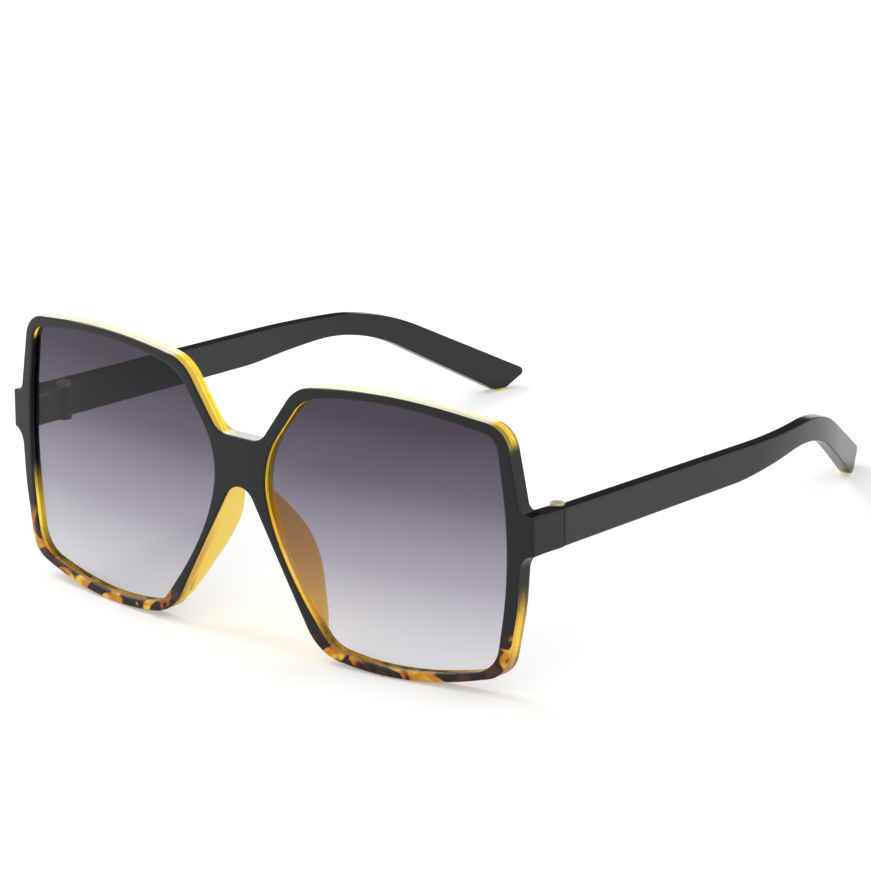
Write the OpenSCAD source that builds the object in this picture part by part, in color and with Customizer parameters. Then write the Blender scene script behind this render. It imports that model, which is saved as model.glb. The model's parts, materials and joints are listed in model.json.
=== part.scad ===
// Sunglasses with a large squarish front and two folding temples.
// Lengths are in millimetres. The pieces are drawn with the front upright: X runs across the front,
// Y from its face towards the ears and Z up, from the foot of the rims. Then the whole pair is leant
// back until the rims and the tips of the temples stand on one floor. Sides are the wearer's own, so
// the left one is at +X. What is drawn once, at +X, is mirrored for the right.

/* [Front] */
// Width of one lens opening
eye_w = 62; // [56:0.5:68]
// Height of one lens opening
eye_h = 59.4; // [52:0.2:64]
// Gap between the two lens openings
bridge_gap = 14.6; // [12:0.2:18]
// Height of the bridge, between the nose arch and its top edge
bridge_h = 11.5; // [9:0.1:14]
// Height of the nose arch above the foot of the rims
arch_z = 35.6; // [31:0.1:39]
// Width of the rim's face
rim_w = 2.1; // [1.6:0.1:3]
// Depth of the rim, from its face to its back
rim_d = 3.8; // [3.2:0.1:5]
// Radius of the front's curve, seen from above
face_r = 340; // [220:5:600]

/* [Nose pads] */
// How far the crown of a pad stands behind the face
pad_reach = 11.9; // [9:0.1:15]
// Length of a pad along the side of the nose
pad_l = 38.3; // [30:0.1:40]
// Thickness of a pad
pad_t = 2; // [1.6:0.1:3]
// Angle at which a pad opens towards the face
pad_splay = 4; // [0:1:12]

/* [Lenses] */
// Thickness of a lens
lens_t = 1.6; // [1:0.1:2]
// How far a lens lies behind the face of the rim
lens_recess = 1.4; // [0.8:0.1:1.6]
// Depth of the groove that holds the lens
groove_depth = 0.9; // [0.5:0.1:1.2]
// Clearance of the lens in its groove
groove_gap = 0.05; // [0.02:0.01:0.1]

/* [Temples] */
// Distance from the hinge seam to the end of the tip, front to back
temple_reach = 139.4; // [120:0.2:150]
// How far the tip hangs below the temple's top edge at the hinge
temple_drop = 26.1; // [18:0.1:34]
// Height of the temple at the hinge
temple_h = 8.5; // [7.5:0.1:10]
// Thickness of the temple
temple_t = 3.4; // [3:0.1:4]
// How far the end of the tip stands in from the hinge
tip_inset = 26; // [10:0.5:32]
// Distance from the hinge seam to the place where the temple turns inwards
turn_y = 93.7; // [80:0.1:105]
// How far the temple has closed in at that turn
turn_inset = 2.4; // [0:0.1:5]

/* [Endpieces] */
// How far the outer side of the hinge seam stands outside the lens opening
endpiece_out = 6.1; // [5:0.1:9]
// How far the fold of the endpiece stands outside the seam
fold_out = 0.2; // [0:0.1:1]
// Length of the endpiece from its fold back to the hinge seam
endpiece_l = 10.8; // [9:0.1:14]
// Height of the middle of the hinge above the foot of the rims
hinge_z = 36.75; // [34:0.25:40]
// Thickness of the endpiece at the seam
endpiece_t = 4.2; // [3.6:0.1:5]
// Clearance between the endpiece and the temple
seam_gap = 0.1; // [0.05:0.01:0.2]

/* [Hinges] */
// Radius of the hinge barrel
barrel_r = 1.6; // [1.4:0.05:1.8]
// Height of the hinge barrel
barrel_h = 8.9; // [8:0.1:10]
// Distance from the seam back to the hinge's axis
axis_back = 2.4; // [2:0.1:2.8]
// Distance from the inner face of the endpiece out to the hinge's axis
axis_out = 0.45; // [0.3:0.05:0.7]
// Radius of the hinge screw
screw_r = 0.65; // [0.5:0.05:0.8]
// Radius of the head of the hinge screw
screw_head_r = 1.2; // [1:0.05:1.3]
// Height of the head of the hinge screw
screw_head_h = 0.8; // [0.5:0.05:1]
// Running clearance of the screw in the barrel
running_gap = 0.03; // [0.02:0.01:0.08]
// Clearance between two knuckles, along the barrel
knuckle_gap = 0.06; // [0.03:0.01:0.15]
// Clearance of the temple round the barrel
barrel_gap = 0.2; // [0.1:0.05:0.4]
// Thickness of a hinge leaf
leaf_t = 0.9; // [0.7:0.05:1.1]
// Height of a hinge leaf
leaf_h = 6.4; // [5.6:0.1:7]
// Length of the front leaf, from the hinge's axis
front_leaf_l = 8.5; // [8:0.1:9]
// Length of the temple leaf, from the hinge's axis
temple_leaf_l = 9.5; // [8:0.1:14]
// How far the temple leaf lies outside the hinge's axis
temple_leaf_out = 0.1; // [0:0.05:0.2]
// Clearance of a leaf in its pocket
pocket_gap = 0.03; // [0.02:0.01:0.08]

/* [Leaf screws] */
// Radius of a leaf screw
leaf_screw_r = 0.45; // [0.35:0.05:0.55]
// Radius of the countersunk head of a leaf screw
leaf_head_r = 0.9; // [0.7:0.05:1]
// Height of the head of a leaf screw
leaf_head_h = 0.45; // [0.3:0.05:0.5]
// Length of a leaf screw
leaf_screw_l = 2.5; // [2:0.1:2.6]
// Width of the slot in a screw's head
slot_w = 0.28; // [0.2:0.02:0.4]
// Depth of the slot in a screw's head
slot_d = 0.25; // [0.15:0.01:0.3]

/* [Hidden] */
$fn = 64;
// Steps in which a rounded corner is drawn
round_steps = 7;
// Overrun of every cut
over = 1;

// Corners of a lens opening: across and up as shares of its width and height, and the shares of the
// edge before and the edge after the corner that its rounding takes up
opening_shares = [
    [0.172, 0.958, 0.19, 0.18],
    [0.518, 1.034, 0.8, 0.77],
    [0.963, 0.948, 0.1, 0.11],
    [1.018, 0.5, 0.59, 0.6],
    [0.955, 0.066, 0.19, 0.21],
    [0.584, -0.024, 0.73, 0.7],
    [0.279, 0.025, 0.18, 0.13],
    [0.042, 0.352, 0.69, 0.56],
    [-0.019, 0.677, 0.41, 0.4],
];
// Corners of the front's outline: shares of the opening's width and height, then the shares of the
// rim's width by which they lie further out and up, then the rounding as above
brow_shares = [
    [0.173, 0.958, -0.87, 1.14, 0.24, 0.18],
    [0.518, 1.037, -0.35, 0.57, 0.8, 0.62],
    [0.963, 0.948, 1.05, 1.09, 0.15, 0.26],
];
cheek_shares = [
    [1.019, 0.31, 0.58, 0, 0.26, 0.2],
    [0.955, 0.066, 1.09, -0.57, 0.27, 0.17],
    [0.584, -0.034, 0.14, -0.9, 0.7, 0.74],
    [0.279, 0.025, -1.52, -0.83, 0.25, 0.15],
];
// Where the outline turns out to the endpiece, in rim widths outside the opening
endpiece_root_shares = [1.47, 1.57];
// How far the endpiece's upper notch stands above its edge, as a share of the temple's height
notch_rise_share = 0.12;
// Corner of the bridge's top edge in rim widths, and that of the nose arch in bridge gaps
bridge_corner_share = 0.52;
arch_corner_share = 0.17;
// Side view of the temple from its front top corner: shares of its reach and its drop, then the
// shares of its height by which a corner lies further back and down, then the rounding
side_shares = [
    [0, 0, 0, 0, 0, 0],
    [0.745, 0.211, 0, 0, 0.11, 0.275],
    [1, 1, 0, 0, 0.05, 0.24],
    [1, 1, -0.765, 0.56, 0.1, 0.03],
    [0.707, 0.2, 0, 0.447, 0.31, 0.38],
    [0.469, 0.133, 0, 0.894, 0.12, 0.06],
    [0, 0, 0, 1, 0, 0],
];
// Shares of the plan's two stretches that the turn of the temple takes up
turn_shares = [0.26, 0.5];
// Side view of a nose pad: depth and length as shares of its reach and length, then the rounding
pad_shares = [
    [0.57, 0.09, 0.4, 0.3],
    [1.13, 0.46, 0.45, 0.42],
    [0.46, 0.98, 0.35, 0.5],
];
// Ends of the pad's root along the nose
pad_root_shares = [0.04, 1.05];
// Places of the two screws along the free length of a leaf
leaf_screw_shares = [0.3, 0.76];
// Length of the temple's curve that is drawn past the end of its tip
tip_spare_share = 0.03;

// Sizes that follow
nose_x = bridge_gap / 2;
seam_x = nose_x + eye_w + endpiece_out;
fold_x = seam_x + fold_out;
fold_y = sag(fold_x);
seam_y = fold_y + endpiece_l;
seam_in = seam_x - endpiece_t;
axis_x = seam_in + axis_out;
axis_y = seam_y + axis_back;
leaf_free = barrel_r + barrel_gap;
knuckle_h = (barrel_h - 2 * knuckle_gap) / 3;
barrel_foot = hinge_z - barrel_h / 2;
pad_root = rim_d / 2 + lens_recess;

function sag(x) = face_r - sqrt(face_r ^ 2 - x ^ 2);
function unit(v) = v / norm(v);
function flat(c) = [c.x, c.y];
function flipped(c) = [-c.x, c.y];

// A corner at b between a and c, rounded over the given shares of its two edges
function round_at(a, b, c, before, after) =
    before == 0 ? [b] :
    let (weight = sin(acos(unit(a - b) * unit(c - b)) / 2),
         s = b + (a - b) * before,
         e = b + (c - b) * after)
    [for (i = [0:round_steps])
        let (t = i / round_steps, ws = (1 - t) ^ 2, wb = 2 * t * (1 - t) * weight, we = t ^ 2)
        (ws * s + wb * b + we * e) / (ws + wb + we)];
function rounded(cs) =
    let (n = len(cs))
    [for (i = [0:n - 1])
        each round_at(flat(cs[(i + n - 1) % n]), flat(cs[i]), flat(cs[(i + 1) % n]), cs[i][2], cs[i][3])];
// The same corners, with every edge moved out by d. They run clockwise.
function grown(cs, d) =
    let (n = len(cs))
    [for (i = [0:n - 1])
        let (u = unit(flat(cs[i]) - flat(cs[(i + n - 1) % n])),
             v = unit(flat(cs[(i + 1) % n]) - flat(cs[i])),
             nu = [-u.y, u.x],
             nv = [-v.y, v.x],
             p = flat(cs[i]) + d * (nu + nv) / (1 + nu * nv))
        [p.x, p.y, cs[i][2], cs[i][3]]];
function along(a, b, y) = a.y + (b.y - a.y) * (y - a.x) / (b.x - a.x);

// Outline of one lens opening
opening = [for (s = opening_shares) [nose_x + s[0] * eye_w, rim_w + s[1] * eye_h, s[2], s[3]]];

// Side view of the temple
side_corners = [for (s = side_shares)
    [seam_y + s[0] * temple_reach + s[2] * temple_h,
     hinge_z + temple_h / 2 - s[1] * temple_drop - s[3] * temple_h, s[4], s[5]]];
side_outline = rounded(side_corners);
// Heights of the temple's two edges, carried on to the fold of the endpiece
fold_top = along(side_corners[0], side_corners[1], fold_y);
fold_foot = along(side_corners[6], side_corners[5], fold_y);

// Outline of the front's half at +X, from the middle of the bridge's top to that of the nose arch
function rim_corner(s) =
    [nose_x + s[0] * eye_w + s[2] * rim_w, rim_w + s[1] * eye_h + s[3] * rim_w, s[4], s[5]];
half_corners = concat(
    [[0, arch_z + bridge_h, 0, 0],
     [nose_x - bridge_corner_share * rim_w, arch_z + bridge_h, 0.42, 0.15]],
    [for (s = brow_shares) rim_corner(s)],
    [[nose_x + eye_w + endpiece_root_shares[0] * rim_w, fold_top + notch_rise_share * temple_h, 0.08, 0.43],
     [fold_x, fold_top, 0, 0],
     [fold_x, fold_foot, 0, 0],
     [nose_x + eye_w + endpiece_root_shares[1] * rim_w, fold_foot, 0.95, 0.29]],
    [for (s = cheek_shares) rim_corner(s)],
    [[arch_corner_share * bridge_gap, arch_z, 0.064, 0.98],
     [0, arch_z, 0, 0]]);
half_outline = rounded(half_corners);
front_outline = concat(half_outline, [for (i = [len(half_outline) - 2:-1:1]) flipped(half_outline[i])]);

// Stance: the steepest line under the rims' back edges and the tips, then the height and the middle
rim_low = [for (p = half_outline) if (p.y < arch_z) [sag(p.x) + rim_d, p.y]];
tip_low = [for (p = side_outline) if (p.x > seam_y + turn_y) p];
stand_slope = max([for (r = rim_low) min([for (t = tip_low) (t.y - r.y) / (t.x - r.x)])]);
stand_tilt = atan(stand_slope);
stand_lift = -min([for (r = rim_low) r.y * cos(stand_tilt) - r.x * sin(stand_tilt)]);
front_y = min([for (p = half_outline) sag(p.x) * cos(stand_tilt) + p.y * sin(stand_tilt)]);
back_y = max([for (p = side_outline) p.x * cos(stand_tilt) + p.y * sin(stand_tilt)]);
mid_y = (front_y + back_y) / 2;

// Stands the upright drawing on the floor
module standing() {
    translate([0, -mid_y, stand_lift]) rotate([-stand_tilt, 0, 0]) children();
}

module right_side() {
    mirror([1, 0, 0]) children();
}

// A block with a front-view outline, from y = from to y = to
module front_block(points, from, to) {
    translate([0, to, 0]) rotate([90, 0, 0]) linear_extrude(to - from) polygon(points);
}

// A block with a side-view outline, from x = from to x = to
module side_block(points, from, to) {
    translate([from, 0, 0]) rotate([90, 0, 90]) linear_extrude(to - from) polygon(points);
}

// A wall bent to the front's curve, from one depth behind the face to another
module curved_wall(from, to) {
    translate([0, face_r, -over])
        difference() {
            cylinder(r = face_r - from, h = eye_h + 4 * rim_w + 2 * over, $fn = 720);
            translate([0, 0, -over])
                cylinder(r = face_r - to, h = eye_h + 4 * rim_w + 4 * over, $fn = 720);
        }
}

// A lens-shaped plate in that wall, wider than the opening all round by the given margin
module lens_plate(margin, from, to) {
    intersection() {
        front_block(rounded(grown(opening, margin)), -over, seam_y);
        translate([0, 0, -rim_w]) curved_wall(from, to);
    }
}

// The two rims and the bridge, bent to the front's curve
module rims() {
    intersection() {
        difference() {
            front_block(front_outline, -over, seam_y);
            front_block(rounded(opening), -2 * over, seam_y + over);
            right_side() front_block(rounded(opening), -2 * over, seam_y + over);
        }
        translate([0, 0, -rim_w]) curved_wall(0, rim_d);
    }
}

// The block that runs from the rim back to the hinge
module endpiece() {
    root_x = nose_x + eye_w + rim_w / 2;
    root_y = sag(root_x) + rim_d;
    intersection() {
        side_block([[0, along(side_corners[0], side_corners[1], 0)],
                    [seam_y, side_corners[0].y],
                    [seam_y, side_corners[6].y],
                    [0, along(side_corners[6], side_corners[5], 0)]], root_x - over, fold_x + over);
        linear_extrude(arch_z + bridge_h)
            polygon([[root_x, 0], [fold_x, 0], [fold_x, fold_y], [seam_x, seam_y],
                     [seam_in, seam_y], [root_x, root_y]]);
        translate([0, face_r, 0]) cylinder(r = face_r, h = arch_z + bridge_h, $fn = 720);
    }
}

// A wing on the back of the rim, which rests on the side of the nose
module nose_pad() {
    foot = half_corners[len(half_corners) - 3];
    top = half_corners[len(half_corners) - 2];
    lean = atan((foot.x - top.x) / (top.y - foot.y));
    corners = concat(
        [[pad_root, -pad_root_shares[0] * pad_l, 0, 0]],
        [for (s = pad_shares) [s[0] * pad_reach, -s[1] * pad_l, s[2], s[3]]],
        [[pad_root, -pad_root_shares[1] * pad_l, 0, 0]]);
    intersection() {
        translate([top.x, 0, top.y])
            rotate([0, -lean, 0])
            rotate([0, 0, -pad_splay])
            side_block(rounded(corners), 0, pad_t);
        front_block(front_outline, 0, seam_y);
    }
}

// Space round the hinge barrel in the temple
module barrel_notch() {
    translate([axis_x, axis_y, barrel_foot - over])
        cylinder(r = barrel_r + barrel_gap, h = barrel_h + 2 * over);
}

// Places of the leaf screws: their heads lie in the leaf's inner face and they point outwards
module at_leaf_screws(leaf_l, face_x, way) {
    for (share = leaf_screw_shares)
        translate([face_x, axis_y + way * (leaf_free + share * (leaf_l - leaf_free)), hinge_z])
            rotate([0, 90, 0]) children();
}

// Pocket for a leaf, with the pilot holes for its screws
module leaf_pocket(leaf_l, face_x, way) {
    from_y = axis_y + (way > 0 ? 0 : -leaf_l - pocket_gap);
    translate([face_x - over, from_y, hinge_z - leaf_h / 2 - pocket_gap])
        cube([leaf_t + over + pocket_gap, leaf_l + pocket_gap, leaf_h + 2 * pocket_gap]);
    at_leaf_screws(leaf_l, face_x, way)
        cylinder(r = leaf_screw_r + running_gap, h = leaf_screw_l + running_gap);
}

// A hinge leaf: its plate, the knuckles it carries and the holes for its screws
module leaf(leaf_l, face_x, way, knuckles) {
    difference() {
        union() {
            translate([face_x, axis_y + (way > 0 ? leaf_free : -leaf_l), hinge_z - leaf_h / 2])
                cube([leaf_t, leaf_l - leaf_free, leaf_h]);
            for (k = knuckles) {
                foot = barrel_foot + k * (knuckle_h + knuckle_gap);
                low = max(foot, hinge_z - leaf_h / 2);
                high = min(foot + knuckle_h, hinge_z + leaf_h / 2);
                translate([axis_x, axis_y, foot]) cylinder(r = barrel_r, h = knuckle_h);
                translate([face_x, axis_y + (way > 0 ? 0 : -leaf_free - leaf_t), low])
                    cube([leaf_t, leaf_free + leaf_t, high - low]);
            }
        }
        translate([axis_x, axis_y, barrel_foot - over])
            cylinder(r = screw_r + running_gap, h = barrel_h + 2 * over);
        translate([axis_x, axis_y, barrel_foot + barrel_h - screw_head_h])
            cylinder(r = screw_head_r + running_gap, h = screw_head_h + over);
        at_leaf_screws(leaf_l, face_x, way) {
            translate([0, 0, -over]) cylinder(r = leaf_screw_r + running_gap, h = leaf_t + 2 * over);
            translate([0, 0, -running_gap])
                cylinder(r1 = leaf_head_r + 2 * running_gap, r2 = leaf_screw_r + running_gap,
                         h = leaf_head_h + running_gap);
        }
    }
}

// Two small countersunk screws that hold a leaf to the plastic
module leaf_screws(leaf_l, face_x, way) {
    at_leaf_screws(leaf_l, face_x, way)
        difference() {
            union() {
                cylinder(r1 = leaf_head_r, r2 = leaf_screw_r, h = leaf_head_h);
                cylinder(r = leaf_screw_r, h = leaf_screw_l);
            }
            translate([-leaf_head_r - over, -slot_w / 2, -over])
                cube([2 * (leaf_head_r + over), slot_w, slot_d + over]);
        }
}

// The pin of the hinge, with its slotted head on top
module hinge_screw() {
    difference() {
        translate([axis_x, axis_y, barrel_foot]) {
            cylinder(r = screw_r, h = barrel_h - slot_d);
            translate([0, 0, barrel_h - screw_head_h + running_gap])
                cylinder(r = screw_head_r, h = screw_head_h - running_gap);
        }
        translate([axis_x - barrel_r, axis_y - slot_w / 2, barrel_foot + barrel_h - slot_d])
            cube([2 * barrel_r, slot_w, slot_d + over]);
    }
}

// The arm over the ear: its side view, cut to a band that turns inwards behind the ear
module temple() {
    turn = [seam_x - turn_inset, seam_y + turn_y];
    end = [seam_x - tip_inset, seam_y + temple_reach * (1 + tip_spare_share)];
    outer = [[seam_x, seam_y, 0, 0], [turn.x, turn.y, turn_shares[0], turn_shares[1]], [end.x, end.y, 0, 0]];
    u = unit(turn - [seam_x, seam_y]);
    v = unit(end - turn);
    inward = [-u.y - v.y, u.x + v.x] / (1 + u * v);
    inner = [[end.x - temple_t * v.y, end.y + temple_t * v.x, 0, 0],
             [turn.x + temple_t * inward.x, turn.y + temple_t * inward.y, turn_shares[1], turn_shares[0]],
             [seam_x - temple_t, seam_y, 0, 0]];
    difference() {
        intersection() {
            side_block(side_outline, 0, fold_x + over);
            linear_extrude(eye_h) polygon(rounded(concat(outer, inner)));
        }
        translate([0, seam_y - over, 0]) cube([fold_x + over, seam_gap + over, eye_h]);
        barrel_notch();
        leaf_pocket(front_leaf_l, seam_in, -1);
        leaf_pocket(temple_leaf_l, axis_x + temple_leaf_out, 1);
    }
}

module front_frame() {
    color("#3b2a12")
        standing()
        difference() {
            union() {
                rims();
                endpiece();
                right_side() endpiece();
                nose_pad();
                right_side() nose_pad();
            }
            lens_plate(groove_depth, lens_recess - groove_gap, lens_recess + lens_t + groove_gap);
            right_side()
                lens_plate(groove_depth, lens_recess - groove_gap, lens_recess + lens_t + groove_gap);
            leaf_pocket(front_leaf_l, seam_in, -1);
            right_side() leaf_pocket(front_leaf_l, seam_in, -1);
        }
}

module lens() {
    color("#6b6470") lens_plate(groove_depth - groove_gap, lens_recess, lens_recess + lens_t);
}
module lens_left() {
    standing() lens();
}
module lens_right() {
    standing() right_side() lens();
}

module temple_left() {
    color("#2f3231") standing() temple();
}
module temple_right() {
    color("#2f3231") standing() right_side() temple();
}

module front_leaf_left() {
    color("#c9b37a") standing() leaf(front_leaf_l, seam_in, -1, [0, 2]);
}
module front_leaf_right() {
    color("#c9b37a") standing() right_side() leaf(front_leaf_l, seam_in, -1, [0, 2]);
}
module temple_leaf_left() {
    color("#c9b37a") standing() leaf(temple_leaf_l, axis_x + temple_leaf_out, 1, [1]);
}
module temple_leaf_right() {
    color("#c9b37a") standing() right_side() leaf(temple_leaf_l, axis_x + temple_leaf_out, 1, [1]);
}

module hinge_screw_left() {
    color("#d8cda8") standing() hinge_screw();
}
module hinge_screw_right() {
    color("#d8cda8") standing() right_side() hinge_screw();
}

module front_leaf_screws_left() {
    color("#d8cda8") standing() leaf_screws(front_leaf_l, seam_in, -1);
}
module front_leaf_screws_right() {
    color("#d8cda8") standing() right_side() leaf_screws(front_leaf_l, seam_in, -1);
}
module temple_leaf_screws_left() {
    color("#d8cda8") standing() leaf_screws(temple_leaf_l, axis_x + temple_leaf_out, 1);
}
module temple_leaf_screws_right() {
    color("#d8cda8") standing() right_side() leaf_screws(temple_leaf_l, axis_x + temple_leaf_out, 1);
}

front_frame();
lens_left();
lens_right();
temple_left();
temple_right();
front_leaf_left();
front_leaf_right();
temple_leaf_left();
temple_leaf_right();
hinge_screw_left();
hinge_screw_right();
front_leaf_screws_left();
front_leaf_screws_right();
temple_leaf_screws_left();
temple_leaf_screws_right();
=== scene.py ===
import json
from math import atan2, cos, pi, radians, sin, sqrt, tan

import bmesh
import bpy
from bmesh.types import BMEdge, BMFace, BMVert
from mathutils import Matrix, Vector


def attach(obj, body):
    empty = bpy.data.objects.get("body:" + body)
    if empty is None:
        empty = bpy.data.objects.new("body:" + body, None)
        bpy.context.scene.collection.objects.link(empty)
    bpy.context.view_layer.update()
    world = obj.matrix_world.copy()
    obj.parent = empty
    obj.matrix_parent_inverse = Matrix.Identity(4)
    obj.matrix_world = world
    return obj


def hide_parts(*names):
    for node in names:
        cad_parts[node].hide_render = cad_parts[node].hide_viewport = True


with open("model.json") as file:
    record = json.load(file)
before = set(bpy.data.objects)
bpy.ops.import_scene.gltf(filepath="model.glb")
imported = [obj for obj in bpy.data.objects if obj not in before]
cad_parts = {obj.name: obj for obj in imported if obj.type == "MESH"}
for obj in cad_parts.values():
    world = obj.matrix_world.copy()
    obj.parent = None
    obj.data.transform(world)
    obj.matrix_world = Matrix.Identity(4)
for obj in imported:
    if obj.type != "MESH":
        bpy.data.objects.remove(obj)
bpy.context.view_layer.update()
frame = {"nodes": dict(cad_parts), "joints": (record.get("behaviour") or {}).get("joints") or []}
nodes = frame["nodes"]
mm = 0.001

detail = {
    "closest": 0.002 * mm,   # outline points nearer than this are left out
    "slack": 0.001 * mm,   # depths and heights this near are the same
    "merge": 0.0001 * mm,   # points nearer than this become one
    "sharpFrom": 38,   # degrees between two faces
    "cornerLimit": 0.5,
}

# The pieces are drawn upright, as the solids are: x across the front, y from its face to the ears
# and z up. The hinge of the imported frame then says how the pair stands.

front = {
    "eyeWidth": 62 * mm,
    "eyeHeight": 59.4 * mm,
    "bridgeGap": 14.6 * mm,
    "bridgeHeight": 11.5 * mm,
    "archHeight": 35.6 * mm,
    "rimWidth": 2.1 * mm,
    "rimDepth": 3.8 * mm,
    "curveRadius": 340 * mm,
    "edgeRound": 0.45 * mm,
    "backRound": 0.3 * mm,
    "backSteps": 2,
    "bendStep": 2 * mm,   # spacing of the cuts that let the flat front bend
    "noseSide": 30 * mm,   # the outline this near the middle, below the arch, is beside the nose
    # corners of a lens opening: across and up in its own width and height, then the shares of
    # the edge before and the edge after that the rounding takes
    "opening": [
        (0.172, 0.958, 0.19, 0.18),
        (0.518, 1.034, 0.8, 0.77),
        (0.963, 0.948, 0.1, 0.11),
        (1.018, 0.5, 0.59, 0.6),
        (0.955, 0.066, 0.19, 0.21),
        (0.584, -0.024, 0.73, 0.7),
        (0.279, 0.025, 0.18, 0.13),
        (0.042, 0.352, 0.69, 0.56),
        (-0.019, 0.677, 0.41, 0.4),
    ],
    # corners of the outline above and below the endpiece, moved on by rim widths
    "brow": [
        (0.173, 0.958, -0.87, 1.14, 0.24, 0.18),
        (0.518, 1.037, -0.35, 0.57, 0.8, 0.62),
        (0.963, 0.948, 1.05, 1.09, 0.15, 0.26),
    ],
    "cheek": [
        (1.019, 0.31, 0.58, 0, 0.26, 0.2),
        (0.955, 0.066, 1.09, -0.57, 0.27, 0.17),
        (0.584, -0.034, 0.14, -0.9, 0.7, 0.74),
        (0.279, 0.025, -1.52, -0.83, 0.25, 0.15),
    ],
    "endpieceRoot": (1.47, 1.57),
    "endpieceRounds": [(0.08, 0.43), (0.14, 0.055), (0.025, 0.045), (0.95, 0.29)],
    "notchRise": 0.12,
    "bridgeCorner": 0.52,
    "bridgeRound": (0.42, 0.15),
    "archCorner": 0.17,
    "archRound": (0.064, 0.98),
}

temple = {
    "reach": 139.4 * mm,
    "drop": 26.1 * mm,
    "height": 8.5 * mm,
    "thickness": 3.4 * mm,
    "tipInset": 26 * mm,
    "turnPlace": 93.7 * mm,
    "turnInset": 2.4 * mm,
    "turnRound": (0.26, 0.5),
    "edgeRound": 0.45 * mm,
    "bendStep": 2.5 * mm,
    "planReach": 1.03,   # the bent line in plan runs on past the tip by this share
    "cornerSteps": 12,
    "turnSteps": 24,
    # corners of the side view: back and down in its own reach and drop, then back and down by its
    # height, then the rounding's shares
    "side": [
        (0, 0, 0, 0, 0, 0),
        (0.745, 0.211, 0, 0, 0.11, 0.275),
        (1, 1, 0, 0, 0.05, 0.24),
        (1, 1, -0.765, 0.56, 0.1, 0.03),
        (0.707, 0.2, 0, 0.447, 0.31, 0.38),
        (0.469, 0.133, 0, 0.894, 0.12, 0.06),
        (0, 0, 0, 1, 0, 0),
    ],
}

endpiece = {
    "out": 6.1 * mm,
    "foldOut": 0.2 * mm,
    "length": 10.8 * mm,
    "thickness": 4.05 * mm,   # a little under the solid's, so that the leaf stands proud
    "seamGap": 0.28 * mm,   # wider than the solids', so that the seam shows as a dark line
    "foldRound": 1.1 * mm,   # the corner where the face turns into the endpiece
    "foldCuts": 4,
    "foldMargin": 1 * mm,   # the fold's rounding takes in this much of the rim above and below
}

hinge = {
    "height": 36.75 * mm,
    "axisBack": 2.4 * mm,
    "axisX": 71.65 * mm,
    "notchRadius": 1.8 * mm,
    "notchSides": 48,
    "weldFrom": 0.001 * mm,
    "edgeRound": 0.08 * mm,
    "edgeSteps": 2,
    "edgeFrom": 40,   # degrees between two faces
}


def sag(x, depth=0):
    # where the curved front lies at x, at this depth behind its face
    r = front["curveRadius"]
    return r - sqrt((r - depth) ** 2 - x ** 2)


def along(a, b, y):
    # height at y of the line from a to b
    return a.y + (b.y - a.y) * (y - a.x) / (b.x - a.x)


noseX = front["bridgeGap"] / 2
seamX = noseX + front["eyeWidth"] + endpiece["out"]
foldX = seamX + endpiece["foldOut"]
foldY = sag(foldX)
seamY = foldY + endpiece["length"]
axisY = seamY + hinge["axisBack"]
endInner = seamX - endpiece["thickness"]   # the endpiece's inner side
endPull = seamY - sag(foldX, front["rimDepth"])   # how far the flat front's back is pulled out

leftHinge = next(j for j in frame["joints"] if j["pos_m"][0] > 0)
hingeAxis = Vector(leftHinge["axis"])
standing = (Matrix.Translation(leftHinge["pos_m"])
            @ Matrix.Rotation(-atan2(hingeAxis.y, hingeAxis.z), 4, "X")
            @ Matrix.Translation((-hinge["axisX"], -axisY, -hinge["height"])))


# Outlines

def roundedLoop(corners, steps=9):
    # every corner becomes a conic between its two edges, as far along them as its shares say
    points = []
    for i, (corner, before, after) in enumerate(corners):
        if before == 0:
            points.append(corner)
            continue
        back = corners[i - 1][0] - corner
        on = corners[(i + 1) % len(corners)][0] - corner
        weight = sin(back.angle(on) / 2)
        for k in range(steps + 1):
            t = k / steps
            ws, wb, we = (1 - t) ** 2, 2 * t * (1 - t) * weight, t ** 2
            start, end = corner + back * before, corner + on * after
            points.append((start * ws + corner * wb + end * we) / (ws + wb + we))
    return [p for i, p in enumerate(points) if (p - points[i - 1]).length > detail["closest"]]


def waysOut(previous, corner, following):
    # the outward directions of the two edges that meet at a corner of a clockwise outline
    u = (corner - previous).normalized()
    v = (following - corner).normalized()
    return Vector((-u.y, u.x)), Vector((-v.y, v.x))


def grownCorners(corners, margin):
    # the same corners with each edge moved outwards
    out = []
    for i, (corner, before, after) in enumerate(corners):
        nu, nv = waysOut(corners[i - 1][0], corner, corners[(i + 1) % len(corners)][0])
        out.append((corner + (nu + nv) * margin / (1 + nu.dot(nv)), before, after))
    return out


def openingCorners():
    w, h, rim = front["eyeWidth"], front["eyeHeight"], front["rimWidth"]
    return [(Vector((noseX + x * w, rim + z * h)), a, b) for x, z, a, b in front["opening"]]


def rimCorner(row):
    w, h, rim = front["eyeWidth"], front["eyeHeight"], front["rimWidth"]
    x, z, outX, outZ, before, after = row
    return (Vector((noseX + x * w + outX * rim, rim + z * h + outZ * rim)), before, after)


def templeSideCorners():
    top = hinge["height"] + temple["height"] / 2
    return [(Vector((seamY + x * temple["reach"] + back * temple["height"],
                     top - z * temple["drop"] - down * temple["height"])), a, b)
            for x, z, back, down, a, b in temple["side"]]


sideCorners = templeSideCorners()


def templeEdgesAt(y):
    # heights of the temple's lower and upper edge, drawn on forwards from its straight part
    spots = [corner for corner, before, after in sideCorners]
    return along(spots[6], spots[5], y), along(spots[0], spots[1], y)


foldFoot, foldTop = templeEdgesAt(foldY)


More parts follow.
